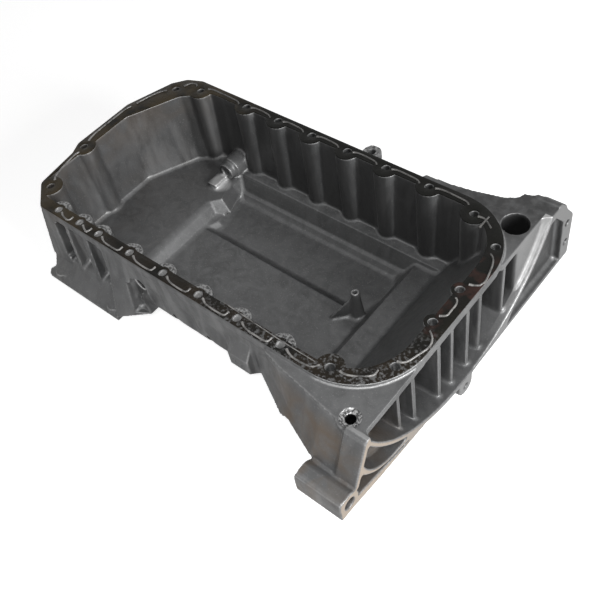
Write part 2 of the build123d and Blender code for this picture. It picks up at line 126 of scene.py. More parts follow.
def grey(value: float, warmth: float = 0.0) -> Colour:
    """Makes a grey with an optional warm or cool lean.

    Args:
        value: linear brightness.
        warmth: share by which red rises and blue falls.

    Returns:
        The colour.
    """
    return (value * (1 + warmth), value, value * (1 - warmth), 1.0)


def only(obj: bpy.types.Object) -> None:
    """Makes one object the only selected and active one.

    Args:
        obj: the object.
    """
    bpy.ops.object.select_all(action="DESELECT")
    obj.select_set(True)
    bpy.context.view_layer.objects.active = obj


def apply_modifier(obj: bpy.types.Object, kind: str, **values: object) -> None:
    """Adds a modifier, sets its values and applies it.

    Args:
        obj: the mesh object.
        kind: Blender's name of the modifier type.
        values: its settings.
    """
    only(obj)
    modifier = obj.modifiers.new(kind.title(), kind)
    for name, value in values.items():
        setattr(modifier, name, value)
    bpy.ops.object.modifier_apply(modifier=modifier.name)


def merged_copy(node: bpy.types.Object, name: str) -> bpy.types.Object:
    """Copies a solid's mesh into a new object and joins its loose triangles.

    Args:
        node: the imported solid's object.
        name: the new object's name.

    Returns:
        The copy, at the origin.
    """
    copy = bpy.data.objects.new(name, node.data.copy())
    bpy.context.scene.collection.objects.link(copy)
    copy.data.materials.clear()
    only(copy)
    bpy.ops.object.mode_set(mode="EDIT")
    bpy.ops.mesh.select_all(action="SELECT")
    bpy.ops.mesh.remove_doubles(threshold=MERGE_DISTANCE)
    bpy.ops.object.mode_set(mode="OBJECT")
    return copy


def dress(piece: bpy.types.Object, material: bpy.types.Material) -> None:
    """Gives a piece its material, its slot and the body that it rides on.

    Args:
        piece: the finished piece.
        material: its material.
    """
    piece.data.materials.append(material)
    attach(piece, "root")


class Shader:
    """A node tree under construction."""

    def __init__(self, name: str) -> None:
        """Starts a material with a plain surface, and reads each point's place and direction.

        Args:
            name: the material's name.
        """
        self.material = bpy.data.materials.new(name)
        self.material.use_nodes = True
        self.tree = self.material.node_tree
        self.surface = self.tree.nodes["Principled BSDF"]
        self.place = self.add("ShaderNodeTexCoord").outputs["Object"]
        geometry = self.add("ShaderNodeNewGeometry")
        self.pointiness = geometry.outputs["Pointiness"]
        axes = self.add("ShaderNodeSeparateXYZ")
        self.join(self.place, axes.inputs[0])
        self.x, self.y, self.z = axes.outputs
        facing = self.add("ShaderNodeSeparateXYZ")
        self.join(geometry.outputs["Normal"], facing.inputs[0])
        self.facing_x, self.facing_y, self.facing_z = facing.outputs

    def add(self, kind: str, **values: object) -> bpy.types.Node:
        """Adds a node and sets its properties.

        Args:
            kind: the node's type.
            values: its properties by name.

        Returns:
            The new node.
        """
        node = self.tree.nodes.new(kind)
        for name, value in values.items():
            setattr(node, name, value)
        return node

    def join(self, source: Socket, target: Socket) -> None:
        """Links two sockets."""
        self.tree.links.new(source, target)

    def feed(self, value: Socket | Colour | float, target: Socket) -> None:
        """Links a socket to an input, or sets the input to a constant.

        Args:
            value: the socket, colour or number.
            target: the input.
        """
        if isinstance(value, bpy.types.NodeSocket):
            self.join(value, target)
        else:
            target.default_value = value

    def noise(
        self, scale: float, detail: float, distortion: float = 0.0, stretch: Place = (1.0, 1.0, 1.0)
    ) -> Socket:
        """Adds a noise on object coordinates.

        Args:
            scale: cells per metre.
            detail: octaves.
            distortion: warp of the noise.
            stretch: scale along each axis.

        Returns:
            The noise's value.
        """
        mapping = self.add("ShaderNodeMapping")
        mapping.inputs["Scale"].default_value = stretch
        self.join(self.place, mapping.inputs["Vector"])
        texture = self.add("ShaderNodeTexNoise")
        texture.inputs["Scale"].default_value = scale
        texture.inputs["Detail"].default_value = detail
        texture.inputs["Distortion"].default_value = distortion
        self.join(mapping.outputs["Vector"], texture.inputs["Vector"])
        return texture.outputs["Fac"]

    def share(self, pattern: Pattern) -> Socket:
        """Adds a noise pattern as a share.

        Args:
            pattern: the noise and the range that shows.

        Returns:
            The share, from the pattern's least to its most.
        """
        noise = self.noise(pattern.scale, pattern.detail, pattern.distortion, pattern.stretch)
        return self.remap(noise, (pattern.low, pattern.high), (pattern.least, pattern.most))

    def remap(self, value: Socket, band: Band, target: Band = (0.0, 1.0)) -> Socket:
        """Maps a value range to another, clamped.

        Args:
            value: the incoming value.
            band: the two values of it that give the target's ends.
            target: first and last outgoing value.

        Returns:
            The outgoing value.
        """
        node = self.add("ShaderNodeMapRange")
        self.join(value, node.inputs["Value"])
        for name, number in zip(("From Min", "From Max", "To Min", "To Max"), band + target):
            node.inputs[name].default_value = number
        return node.outputs["Result"]

    def maths(self, operation: str, *values: Socket | float) -> Socket:
        """Adds a clamped Math node.

        Args:
            operation: the operation's name.
            values: its operands.

        Returns:
            The outcome, between 0 and 1.
        """
        node = self.add("ShaderNodeMath", operation=operation, use_clamp=True)
        for value, target in zip(values, node.inputs):
            self.feed(value, target)
        return node.outputs[0]

    def both(self, *shares: Socket | float) -> Socket:
        """Multiplies shares and strengths, so that a point needs all of them.

        Args:
            shares: the shares, the first a socket.

        Returns:
            Their product.
        """
        product = shares[0]
        for share in shares[1:]:
            product = self.maths("MULTIPLY", product, share)
        return product

    def either(self, *shares: Socket) -> Socket:
        """Takes the largest of several shares.

        Args:
            shares: the shares.

        Returns:
            The largest.
        """
        largest = shares[0]
        for share in shares[1:]:
            largest = self.maths("MAXIMUM", largest, share)
        return largest

    def near_point(self, place: Place, fade: Band) -> Socket:
        """Finds what lies near a point.

        Args:
            place: the point in metres.
            fade: distances at which the share starts to fall and is gone.

        Returns:
            A share, 1 near the point.
        """
        distance = self.add("ShaderNodeVectorMath", operation="DISTANCE")
        self.join(self.place, distance.inputs[0])
        distance.inputs[1].default_value = place
        return self.remap(distance.outputs["Value"], fade, (1.0, 0.0))

    def from_line(self, place: Place, across: Place) -> Socket:
        """Measures the distance from a line through a point.

        Args:
            place: a point of the line, with 0 along it.
            across: 1 for each axis across the line and 0 for the axis along it.

        Returns:
            The distance in metres.
        """
        flat = self.add("ShaderNodeVectorMath", operation="MULTIPLY")
        self.join(self.place, flat.inputs[0])
        flat.inputs[1].default_value = across
        away = self.add("ShaderNodeVectorMath", operation="DISTANCE")
        self.join(flat.outputs["Vector"], away.inputs[0])
        away.inputs[1].default_value = place
        return away.outputs["Value"]

    def mixed(self, kind: MixKind, share: Socket, first: object, second: object) -> Socket:
        """Mixes two values.

        Args:
            kind: numbers or colours.
            share: how much of the second shows.
            first: a socket or a constant.
            second: a socket or a constant.

        Returns:
            The mix.
        """
        data_type, inputs, output = kind.value
        node = self.add("ShaderNodeMix", data_type=data_type)
        self.join(share, node.inputs["Factor"])
        for index, value in zip(inputs, (first, second)):
            self.feed(value, node.inputs[index])
        return node.outputs[output]

    def blend(self, share: Socket, first: Socket | Colour, second: Socket | Colour) -> Socket:
        """Mixes two colours."""
        return self.mixed(MixKind.COLOUR, share, first, second)

    def mix(self, share: Socket, first: Socket | float, second: Socket | float) -> Socket:
        """Mixes two numbers."""
        return self.mixed(MixKind.NUMBER, share, first, second)

    def bumps(self, layers: tuple[Relief, ...]) -> None:
        """Chains layers of bumps into the surface's normal.

        Args:
            layers: the layers, each felt on top of the one before.
        """
        previous = None
        for layer in layers:
            bump = self.add("ShaderNodeBump")
            bump.inputs["Strength"].default_value = layer.strength
            bump.inputs["Distance"].default_value = layer.depth
            self.join(self.noise(layer.scale, layer.detail), bump.inputs["Height"])
            if previous is not None:
                self.join(previous, bump.inputs["Normal"])
            previous = bump.outputs["Normal"]
        self.join(previous, self.surface.inputs["Normal"])


@dataclass(frozen=True)
class CastSkin:
    """The cast surface: cloudy grey with pour lines, streaks and bright specks."""

    dark: Colour = grey(0.085, -0.01)
    light: Colour = grey(0.135, -0.01)
    sparkle: Colour = grey(0.25)
    clouds: Pattern = Pattern(18, 0.34, 0.66, detail=4, distortion=0.6)
    cloud_strength: float = 0.6
    pour_lines: Pattern = Pattern(75, 0.35, 0.7, detail=5, distortion=1.2, stretch=(1, 1, 0.35))
    streaks: Pattern = Pattern(48, 0.46, 0.62, detail=4, distortion=0.8, stretch=(1.3, 0.4, 0.22))
    streak_strength: float = 0.5
    specks: Pattern = Pattern(700, 0.60, 0.74, detail=2, most=0.45)
    upright: Band = (0.6, 0.2)

    def colour(self, shader: Shader) -> Socket:
        """Mixes the colour.

        Args:
            shader: the material under construction.

        Returns:
            The colour.
        """
        clouds = shader.both(shader.share(self.clouds), self.cloud_strength)
        tone = shader.mix(shader.share(self.pour_lines), clouds, 1.0)
        colour = shader.blend(tone, self.dark, self.light)
        streaks = shader.both(shader.share(self.streaks), shader.remap(shader.facing_z, self.upright))
        colour = shader.blend(shader.both(streaks, self.streak_strength), colour, self.sparkle)
        return shader.blend(shader.share(self.specks), colour, self.sparkle)


@dataclass(frozen=True)
class StainsAndReflection:
    """Brown stains on the near ear's web, and a brown painted warm reflection on the front walls,
    stronger towards the rim.
    """

    brown_stain_and_reflection: Colour = (0.135, 0.10, 0.07, 1.0)
    blotches: Pattern = Pattern(30, 0.36, 0.58, detail=4, distortion=0.8)
    strength: float = 0.75
    front_end: Band = (-0.12, -0.20)
    front_height: Band = (-0.04, -0.005)
    front_share: Band = (0.1, 0.5)
    ear_foot: Place = (0.165, -0.135, -0.035)
    ear_fade: Band = (0.03, 0.075)
    below_rim: Band = (-0.008, -0.02)

    def over(self, shader: Shader, colour: Socket) -> Socket:
        """Lays the stains and the painted reflection over a colour.

        Args:
            shader: the material under construction.
            colour: the clean colour.

        Returns:
            The stained colour.
        """
        # painted warm reflection on the front walls, stronger towards the rim
        front = shader.both(
            shader.remap(shader.x, self.front_end),
            shader.remap(shader.z, self.front_height, self.front_share),
        )
        web = shader.both(
            shader.near_point(self.ear_foot, self.ear_fade),
            shader.remap(shader.z, self.below_rim),
        )
        stains = shader.both(shader.share(self.blotches), shader.either(front, web), self.strength)
        return shader.blend(stains, colour, self.brown_stain_and_reflection)


@dataclass(frozen=True)
class WearAndHighlights:
    """Outward edges worn bright, and painted highlights along the inward corners and on the drain's pad.
    """

    worn: Colour = grey(0.32)
    painted_highlight: Colour = grey(0.5)
    outward: Band = (0.515, 0.56)
    wear_and_highlight_mottle: Pattern = Pattern(240, 0.3, 0.6, least=0.35)
    inward: Band = (0.485, 0.455)
    inward_strength: float = 0.7
    past_upright: Band = (0.15, 0.4)
    short_of_flat: Band = (0.985, 0.93)
    drain_pad: Place = (-0.1285, 0.060, -0.0775)
    pad_fade: Band = (0.008, 0.013)
    pad_strength: float = 0.8

    def over(self, shader: Shader, colour: Socket) -> Socket:
        """Lays the wear and the painted highlights over a colour.

        Args:
            shader: the material under construction.
            colour: the unworn colour.

        Returns:
            The worn colour.
        """
        edges = shader.both(shader.remap(shader.pointiness, self.outward), shader.share(self.wear_and_highlight_mottle))
        colour = shader.blend(edges, colour, self.worn)
        # painted highlight along the inward fillets
        fillet_highlight = shader.both(
            shader.remap(shader.pointiness, self.inward),
            shader.remap(shader.facing_z, self.past_upright),
            shader.remap(shader.facing_z, self.short_of_flat),
            self.inward_strength,
        )
        colour = shader.blend(fillet_highlight, colour, self.painted_highlight)
        # painted highlight on the drain's pad
        pad = shader.both(shader.near_point(self.drain_pad, self.pad_fade), self.pad_strength)
        return shader.blend(pad, colour, self.painted_highlight)


@dataclass(frozen=True)
class PaintedShade:
    """Painted shade on the far ear's upward faces, in the far corner, on the far wall's inner face and in
    the recess below the sensor.
    """

    shade_colour: Colour = grey(0.035)
    far_ear: Place = (0.165, 0.135, -0.003)
    ear_fade: Band = (0.045, 0.075)
    upward: Band = (0.6, 0.9)
    shade_mottling: Pattern = Pattern(120, 0.3, 0.6, detail=4, least=0.35, most=0.9)
    shade_strength: float = 0.75
    corner_side: Band = (0.066, 0.078)
    corner_start: Band = (0.175, 0.185)
    corner_end: Band = (0.2078, 0.2068)
    corner_height: Band = (-0.005, -0.01)
    far_wall_facing: Band = (-0.6, -0.9)
    far_wall_side: Band = (0.05, 0.07)
    recess: Place = (-0.063, -0.103, -0.052)
    recess_fade: Band = (0.010, 0.017)

    def over(self, shader: Shader, colour: Socket) -> Socket:
        """Lays the painted shade over a colour.

        Args:
            shader: the material under construction.
            colour: the colour without the shade.

        Returns:
            The darkened colour.
        """
        # painted shade on the far ear, standing in for the light falling off there
        far_ear_shade = shader.both(
            shader.near_point(self.far_ear, self.ear_fade),
            shader.remap(shader.facing_z, self.upward),
            shader.share(self.shade_mottling),
        )
        colour = shader.blend(far_ear_shade, colour, self.shade_colour)
        # painted shade in the far corner, on the far wall's inner face and in the recess
        corner = shader.both(
            shader.remap(shader.y, self.corner_side),
            shader.remap(shader.x, self.corner_start),
            shader.remap(shader.x, self.corner_end),
            shader.remap(shader.z, self.corner_height),
        )
        far_wall = shader.both(
            shader.remap(shader.facing_y, self.far_wall_facing),
            shader.remap(shader.y, self.far_wall_side),
        )
        shaded = shader.either(corner, far_wall, shader.near_point(self.recess, self.recess_fade))
        return shader.blend(shader.both(shaded, self.shade_strength), colour, self.shade_colour)


@dataclass(frozen=True)
class MachinedFaces:
    """The milled sealing and gearbox faces, the turned strip by the flywheel, shown only towards the far
    side as a painted highlight, and the ear's screw seat with painted glints.
    """

    bright: Colour = grey(0.26)
    cream: Colour = (0.44, 0.37, 0.30, 1.0)
    tarnish: Colour = grey(0.07)
    turned: Colour = grey(0.36)
    sealing_height: Band = (-0.0008, -0.0004)
    bell_place: Band = (0.2139, 0.2143)
    square_on: Band = (0.9, 0.98)
    patina: Pattern = Pattern(420, 0.42, 0.58)
    patina_height: Band = (-0.001, -0.0005)
    patina_end: Band = (0.2, 0.19)
    cream_side: Band = (-0.03, -0.11)
    cream_facing: Band = (0.8, 0.9)
    crank_axis: Place = (0.0, 0.0, 0.0574)
    strip_start: Band = (0.2072, 0.2077)
    strip_radius: Band = (0.1422, 0.1416)
    strip_highlight_side: Band = (0.04, 0.11)
    ear_screw: Place = (0.1915, -0.121, -0.0042)
    seat_fade: Band = (0.0084, 0.0088)
    glints: Pattern = Pattern(520, 0.46, 0.56, detail=2)

    def milled(self, shader: Shader) -> Socket:
        """Finds the sealing face and the gearbox face.

        Args:
            shader: the material under construction.

        Returns:
            A share, 1 on those faces.
        """
        top = shader.both(
            shader.remap(shader.z, self.sealing_height),
            shader.remap(shader.facing_z, self.square_on),
        )
        bell = shader.both(
            shader.remap(shader.x, self.bell_place),
            shader.remap(shader.facing_x, self.square_on),
        )
        return shader.either(top, bell)

    def milled_colour(self, shader: Shader) -> Socket:
        """Mixes the milled faces' colour: cream by the near side and tarnished on top.

        Args:
            shader: the material under construction.

        Returns:
            The colour.
        """
        cream = shader.both(
            shader.remap(shader.y, self.cream_side),
            shader.remap(shader.facing_x, self.cream_facing),
        )
        colour = shader.blend(cream, self.bright, self.cream)
        tarnish = shader.both(
            shader.remap(shader.z, self.patina_height),
            shader.remap(shader.x, self.patina_end),
            shader.share(self.patina),
        )
        return shader.blend(tarnish, colour, self.tarnish)

    def over(self, shader: Shader, colour: Socket) -> tuple[Socket, Socket]:
        """Lays the machined faces over a colour.

        Args:
            shader: the material under construction.
            colour: the cast colour.

        Returns:
            The new colour, and the share that is machined.
        """
        milled = self.milled(shader)
        colour = shader.blend(milled, colour, self.milled_colour(shader))
        # real turned face, painted bright only towards the far side as a painted highlight
        strip = shader.both(
            shader.remap(shader.x, self.strip_start),
            shader.remap(shader.from_line(self.crank_axis, (0, 1, 1)), self.strip_radius),
            shader.remap(shader.y, self.strip_highlight_side),
        )
        colour = shader.blend(strip, colour, self.turned)
        seat = shader.near_point(self.ear_screw, self.seat_fade)
        glints = shader.blend(shader.share(self.glints), self.tarnish, self.turned)
        return shader.blend(seat, colour, glints), shader.either(milled, strip, seat)


@dataclass(frozen=True)
class Bores:
    """Holes that look darker or lighter than the faces round them."""

    shade: Colour = grey(0.012)
    lit: Colour = grey(0.62)
    painted_highlight: Colour = grey(0.5)
    sensor: Place = (-0.063, -0.104, -0.036)
    sensor_fade: Band = (0.0048, 0.0056)
    lip_fade: Band = (0.0072, 0.0078)
    lip_facing: Band = (-0.6, -0.8)
    ear_screw: Place = (0.1915, -0.121, 0.0)
    ear_radius: Band = (0.0048, 0.0044)
    ear_depth: Band = (-0.0046, -0.0056)
    far_hole: Place = (0.1927, 0.1055, 0.0)
    far_radius: Band = (0.013, 0.012)
    far_depth: Band = (-0.004, -0.007)
    far_strength: float = 0.75
    row_outer: Band = (-0.1058, -0.1054)
    row_inner: Band = (-0.0978, -0.0982)
    row_top: Band = (-0.0004, -0.0010)
    row_bottom: Band = (-0.0095, -0.0085)
    row_end: Band = (0.15, 0.14)

    def sensor_bore(self, shader: Shader, colour: Socket) -> Socket:
        """Lays the sensor bore's painted shade and a painted highlight on its lip over a colour.

        Args:
            shader: the material under construction.
            colour: the colour without them.

        Returns:
            The new colour.
        """
        # painted highlight on the lip of the sensor bore
        lip = shader.both(
            shader.near_point(self.sensor, self.lip_fade),
            shader.remap(shader.facing_y, self.lip_facing),
        )
        colour = shader.blend(lip, colour, self.painted_highlight)
        return shader.blend(shader.near_point(self.sensor, self.sensor_fade), colour, self.shade)

    def over(self, shader: Shader, colour: Socket) -> Socket:
        """Lays the ear's bore, the near row's light bores and the inspection hole over a colour.

        Args:
            shader: the material under construction.
            colour: the colour without them.

        Returns:
            The new colour.
        """
        ear = shader.both(
            shader.remap(shader.from_line(self.ear_screw, (1, 1, 0)), self.ear_radius),
            shader.remap(shader.z, self.ear_depth),
        )
        colour = shader.blend(ear, colour, self.shade)
        row = shader.both(
            shader.remap(shader.y, self.row_outer),
            shader.remap(shader.y, self.row_inner),
            shader.remap(shader.z, self.row_top),
            shader.remap(shader.z, self.row_bottom),
            shader.remap(shader.x, self.row_end),
        )
        colour = shader.blend(row, colour, self.lit)
        far = shader.both(
            shader.remap(shader.from_line(self.far_hole, (1, 1, 0)), self.far_radius),
            shader.remap(shader.z, self.far_depth),
            self.far_strength,
        )
        return shader.blend(far, colour, self.shade)


@dataclass(frozen=True)
class CastAluminium:
    """Sand-cast aluminium with machined faces, handling wear, brown stains, and painted shade and
    highlights.
    """

    specular: float = 0.4
    cast_metal: float = 0.45
    machined_metal: float = 0.75
    machined_roughness: float = 0.38
    roughness: Pattern = Pattern(160, 0.3, 0.7, detail=4, least=0.36, most=0.5)
    reliefs: tuple[Relief, ...] = (Relief(420, 3, 0.2, 0.0004), Relief(900, 3, 0.3, 0.00025))

    def make(self) -> bpy.types.Material:
        """Builds the material.

        Returns:
            The material.
        """
        shader = Shader("cast_aluminium")
        colour = CastSkin().colour(shader)
        for layer in (StainsAndReflection(), WearAndHighlights(), PaintedShade()):
            colour = layer.over(shader, colour)
        bores = Bores()
        colour, machined = MachinedFaces().over(shader, bores.sensor_bore(shader, colour))
        colour = bores.over(shader, colour)
        surface = shader.surface
        surface.inputs["Specular IOR Level"].default_value = self.specular
        metal = shader.mix(machined, self.cast_metal, self.machined_metal)
        roughness = shader.mix(machined, shader.share(self.roughness), self.machined_roughness)
        shader.join(colour, surface.inputs["Base Color"])
        shader.join(metal, surface.inputs["Metallic"])
        shader.join(roughness, surface.inputs["Roughness"])
        shader.bumps(self.reliefs)
        return shader.material


@dataclass(frozen=True)
class GasketRubber:
    """Glossy dark moulded rubber, tan at the front, with rust and grey grit at the gearbox end."""

    dark: Colour = (0.006, 0.006, 0.005, 1.0)
    brown: Colour = (0.020, 0.015, 0.010, 1.0)
    tan: Colour = (0.045, 0.035, 0.021, 1.0)
    rust: Colour = (0.030, 0.016, 0.013, 1.0)
    grit: Colour = grey(0.12)
    brown_patches: Pattern = Pattern(40, 0.35, 0.65)
    brown_side: Band = (0.02, -0.08)
    tan_patches: Pattern = Pattern(55, 0.3, 0.55)
    tan_end: Band = (-0.085, -0.15)
    rust_patches: Pattern = Pattern(70, 0.48, 0.58, detail=2)
    rust_end: Band = (0.178, 0.19)
    rust_far: Band = (0.065, 0.05)
    rust_near: Band = (-0.045, -0.03)
    grains: Pattern = Pattern(430, 0.50, 0.66)
    grit_end: Band = (0.0, 0.06)
    grit_side: Band = (-0.02, -0.05)
    grit_roughness: float = 0.5
    roughness: Pattern = Pattern(300, 0.3, 0.7, least=0.26, most=0.42)
    specular: float = 0.12
    reliefs: tuple[Relief, ...] = (Relief(260, 3, 0.45, 0.0008), Relief(1500, 2, 0.2, 0.0002))

    def make(self) -> bpy.types.Material:
        """Builds the material.

        Returns:
            The material.
        """
        shader = Shader("gasket_rubber")
        surface = shader.surface
        brown = shader.both(shader.remap(shader.y, self.brown_side), shader.share(self.brown_patches))
        colour = shader.blend(brown, self.dark, self.brown)
        tan = shader.both(shader.remap(shader.x, self.tan_end), shader.share(self.tan_patches))
        colour = shader.blend(tan, colour, self.tan)
        rust = shader.both(
            shader.remap(shader.x, self.rust_end),
            shader.share(self.rust_patches),
            shader.remap(shader.y, self.rust_far),
            shader.remap(shader.y, self.rust_near),
        )
        colour = shader.blend(rust, colour, self.rust)
        grit = shader.both(
            shader.remap(shader.x, self.grit_end),
            shader.remap(shader.y, self.grit_side),
            shader.share(self.grains),
        )
        roughness = shader.mix(grit, shader.share(self.roughness), self.grit_roughness)
        shader.join(shader.blend(grit, colour, self.grit), surface.inputs["Base Color"])
        shader.join(roughness, surface.inputs["Roughness"])
        surface.inputs["Specular IOR Level"].default_value = self.specular
        shader.bumps(self.reliefs)
        return shader.material


@dataclass(frozen=True)
class BeadRubber:
    """The paler, shinier rubber of the raised sealing beads, with a painted highlight in patches that
    grows towards the near side.
    """

    moulded: Colour = grey(0.045, 0.04)
    bead_highlight: Colour = grey(0.24, 0.03)
    wear_and_highlight_mottle: Pattern = Pattern(180, 0.3, 0.55)
    highlight_side: Band = (0.09, 0.0)
    highlight_share: Band = (0.3, 1.0)
    roughness: Pattern = Pattern(400, 0.3, 0.7, detail=2, least=0.18, most=0.3)
    reliefs: tuple[Relief, ...] = (Relief(900, 2, 0.3, 0.0003),)

    def make(self) -> bpy.types.Material:
        """Builds the material.

        Returns:
            The material.
        """
        shader = Shader("bead_rubber")
        # painted highlight on the beads, stronger towards the near side
        bead_highlight = shader.both(
            shader.share(self.wear_and_highlight_mottle),
            shader.remap(shader.y, self.highlight_side, self.highlight_share),
        )
        colour = shader.blend(bead_highlight, self.moulded, self.bead_highlight)
        shader.join(colour, shader.surface.inputs["Base Color"])
        shader.join(shader.share(self.roughness), shader.surface.inputs["Roughness"])
        shader.bumps(self.reliefs)
        return shader.material


@dataclass
class PanCasting:
    """The cast body, with the soft edges and fillets of a casting.

    Attributes:
        voxel: spacing of the new mesh.
        smooth_pull: how far a smoothing step moves a point towards its neighbours.
        smooth_steps: smoothing steps over the whole casting.
        fillet_steps: smoothing steps in the inward corners.
        fillet_pull: how far such a step moves a point.
        hollow: hollowness at which a corner starts to fill, and at which it fills fully.
        spread_steps: steps by which the filled places grow.
        spread: gain of each such step.
        crisp_height: height above which the corners stay as machined.
        boss_axis: y and z of the near bolt's axis.
        boss_radius: radius of its round boss.
        boss_start: x at which the boss starts.
        boss_skin: shares of the radius between which the boss's skin is moved.
        boss_square: squareness of the boss's upper outer corner, 2 for a circle.
        most_faces: most triangles of the piece.
    """

    voxel: float = 1.0 * MM
    smooth_pull: float = 0.5
    smooth_steps: int = 3
    fillet_steps: int = 32
    fillet_pull: float = 0.6
    hollow: Band = (0.03, 0.12)
    spread_steps: int = 2
    spread: float = 1.5
    crisp_height: float = -4.0 * MM
    boss_axis: Band = (-158.7 * MM, -52.0 * MM)
    boss_radius: float = 11.0 * MM
    boss_start: float = 170.0 * MM
    boss_skin: Band = (0.8, 1.1)
    boss_square: float = 5.0
    most_faces: int = 190000

    def fill_corners(self, piece: bpy.types.Object) -> None:
        """Rounds the inward corners into fillets and leaves the outward edges as they are.

        Args:
            piece: the remeshed casting.
        """
        mesh = piece.data
        count = len(mesh.vertices)
        place = np.empty(count * 3)
        mesh.vertices.foreach_get("co", place)
        place = place.reshape(count, 3)
        normal = np.empty(count * 3)
        mesh.vertices.foreach_get("normal", normal)
        normal = normal.reshape(count, 3)
        ends = np.empty(len(mesh.edges) * 2, dtype=np.int32)
        mesh.edges.foreach_get("vertices", ends)
        first, second = ends.reshape(-1, 2).T
        degree = np.bincount(np.concatenate((first, second)), minlength=count).clip(min=1)

        def around(values: np.ndarray) -> np.ndarray:
            """Averages a value over each point's neighbours."""
            total = np.bincount(first, values[second], count) + np.bincount(second, values[first], count)
            return total / degree

        pull = np.stack([around(place[:, axis]) for axis in range(3)], axis=1) - place
        hollow = (pull * normal).sum(axis=1) / self.voxel
        low, high = self.hollow
        share = ((hollow - low) / (high - low)).clip(0, 1)
        for _ in range(self.spread_steps):
            share = np.maximum(share, (around(share) * self.spread).clip(0, 1))
        share[place[:, 2] > self.crisp_height] = 0
        for _ in range(self.fillet_steps):
            for axis in range(3):
                column = place[:, axis]
                place[:, axis] = column + self.fillet_pull * share * (around(column) - column)
        self.square_boss(place)
        mesh.vertices.foreach_set("co", place.ravel())
        mesh.update()

    def square_boss(self, place: np.ndarray) -> None:
        """Flattens the top of the near bolt's round boss and squares its upper outer corner.

        Args:
            place: the casting's points, changed in place.
        """
        middle_y, middle_z = self.boss_axis
        aside = place[:, 1] - middle_y
        above = place[:, 2] - middle_z
        reach = np.hypot(aside, above)
        inner, outer = self.boss_skin
        skin = (place[:, 0] > self.boss_start) & (above > 0) & (aside < 0)
        skin &= (reach > inner * self.boss_radius) & (reach < outer * self.boss_radius)
        cosine = np.abs(aside[skin]) / reach[skin]
        sine = above[skin] / reach[skin]
        grow = (cosine**self.boss_square + sine**self.boss_square) ** (-1 / self.boss_square)
        place[skin, 1] = middle_y + aside[skin] * grow
        place[skin, 2] = middle_z + above[skin] * grow

    def make(self, node: bpy.types.Object) -> bpy.types.Object:
        """Makes the dressed casting from its solid.

        Args:
            node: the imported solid.

        Returns:
            The new piece.
        """
        piece = merged_copy(node, "pan_casting_body")
        apply_modifier(piece, "REMESH", mode="VOXEL", voxel_size=self.voxel, adaptivity=0.0)
        apply_modifier(piece, "SMOOTH", factor=self.smooth_pull, iterations=self.smooth_steps)
        self.fill_corners(piece)
        share = self.most_faces / (2 * len(piece.data.polygons))
        if share < 1:
            apply_modifier(piece, "DECIMATE", decimate_type="COLLAPSE", ratio=share)
        only(piece)
        bpy.ops.object.shade_smooth()
        dress(piece, CastAluminium().make())
        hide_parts(Node.CASTING.value)
        return piece


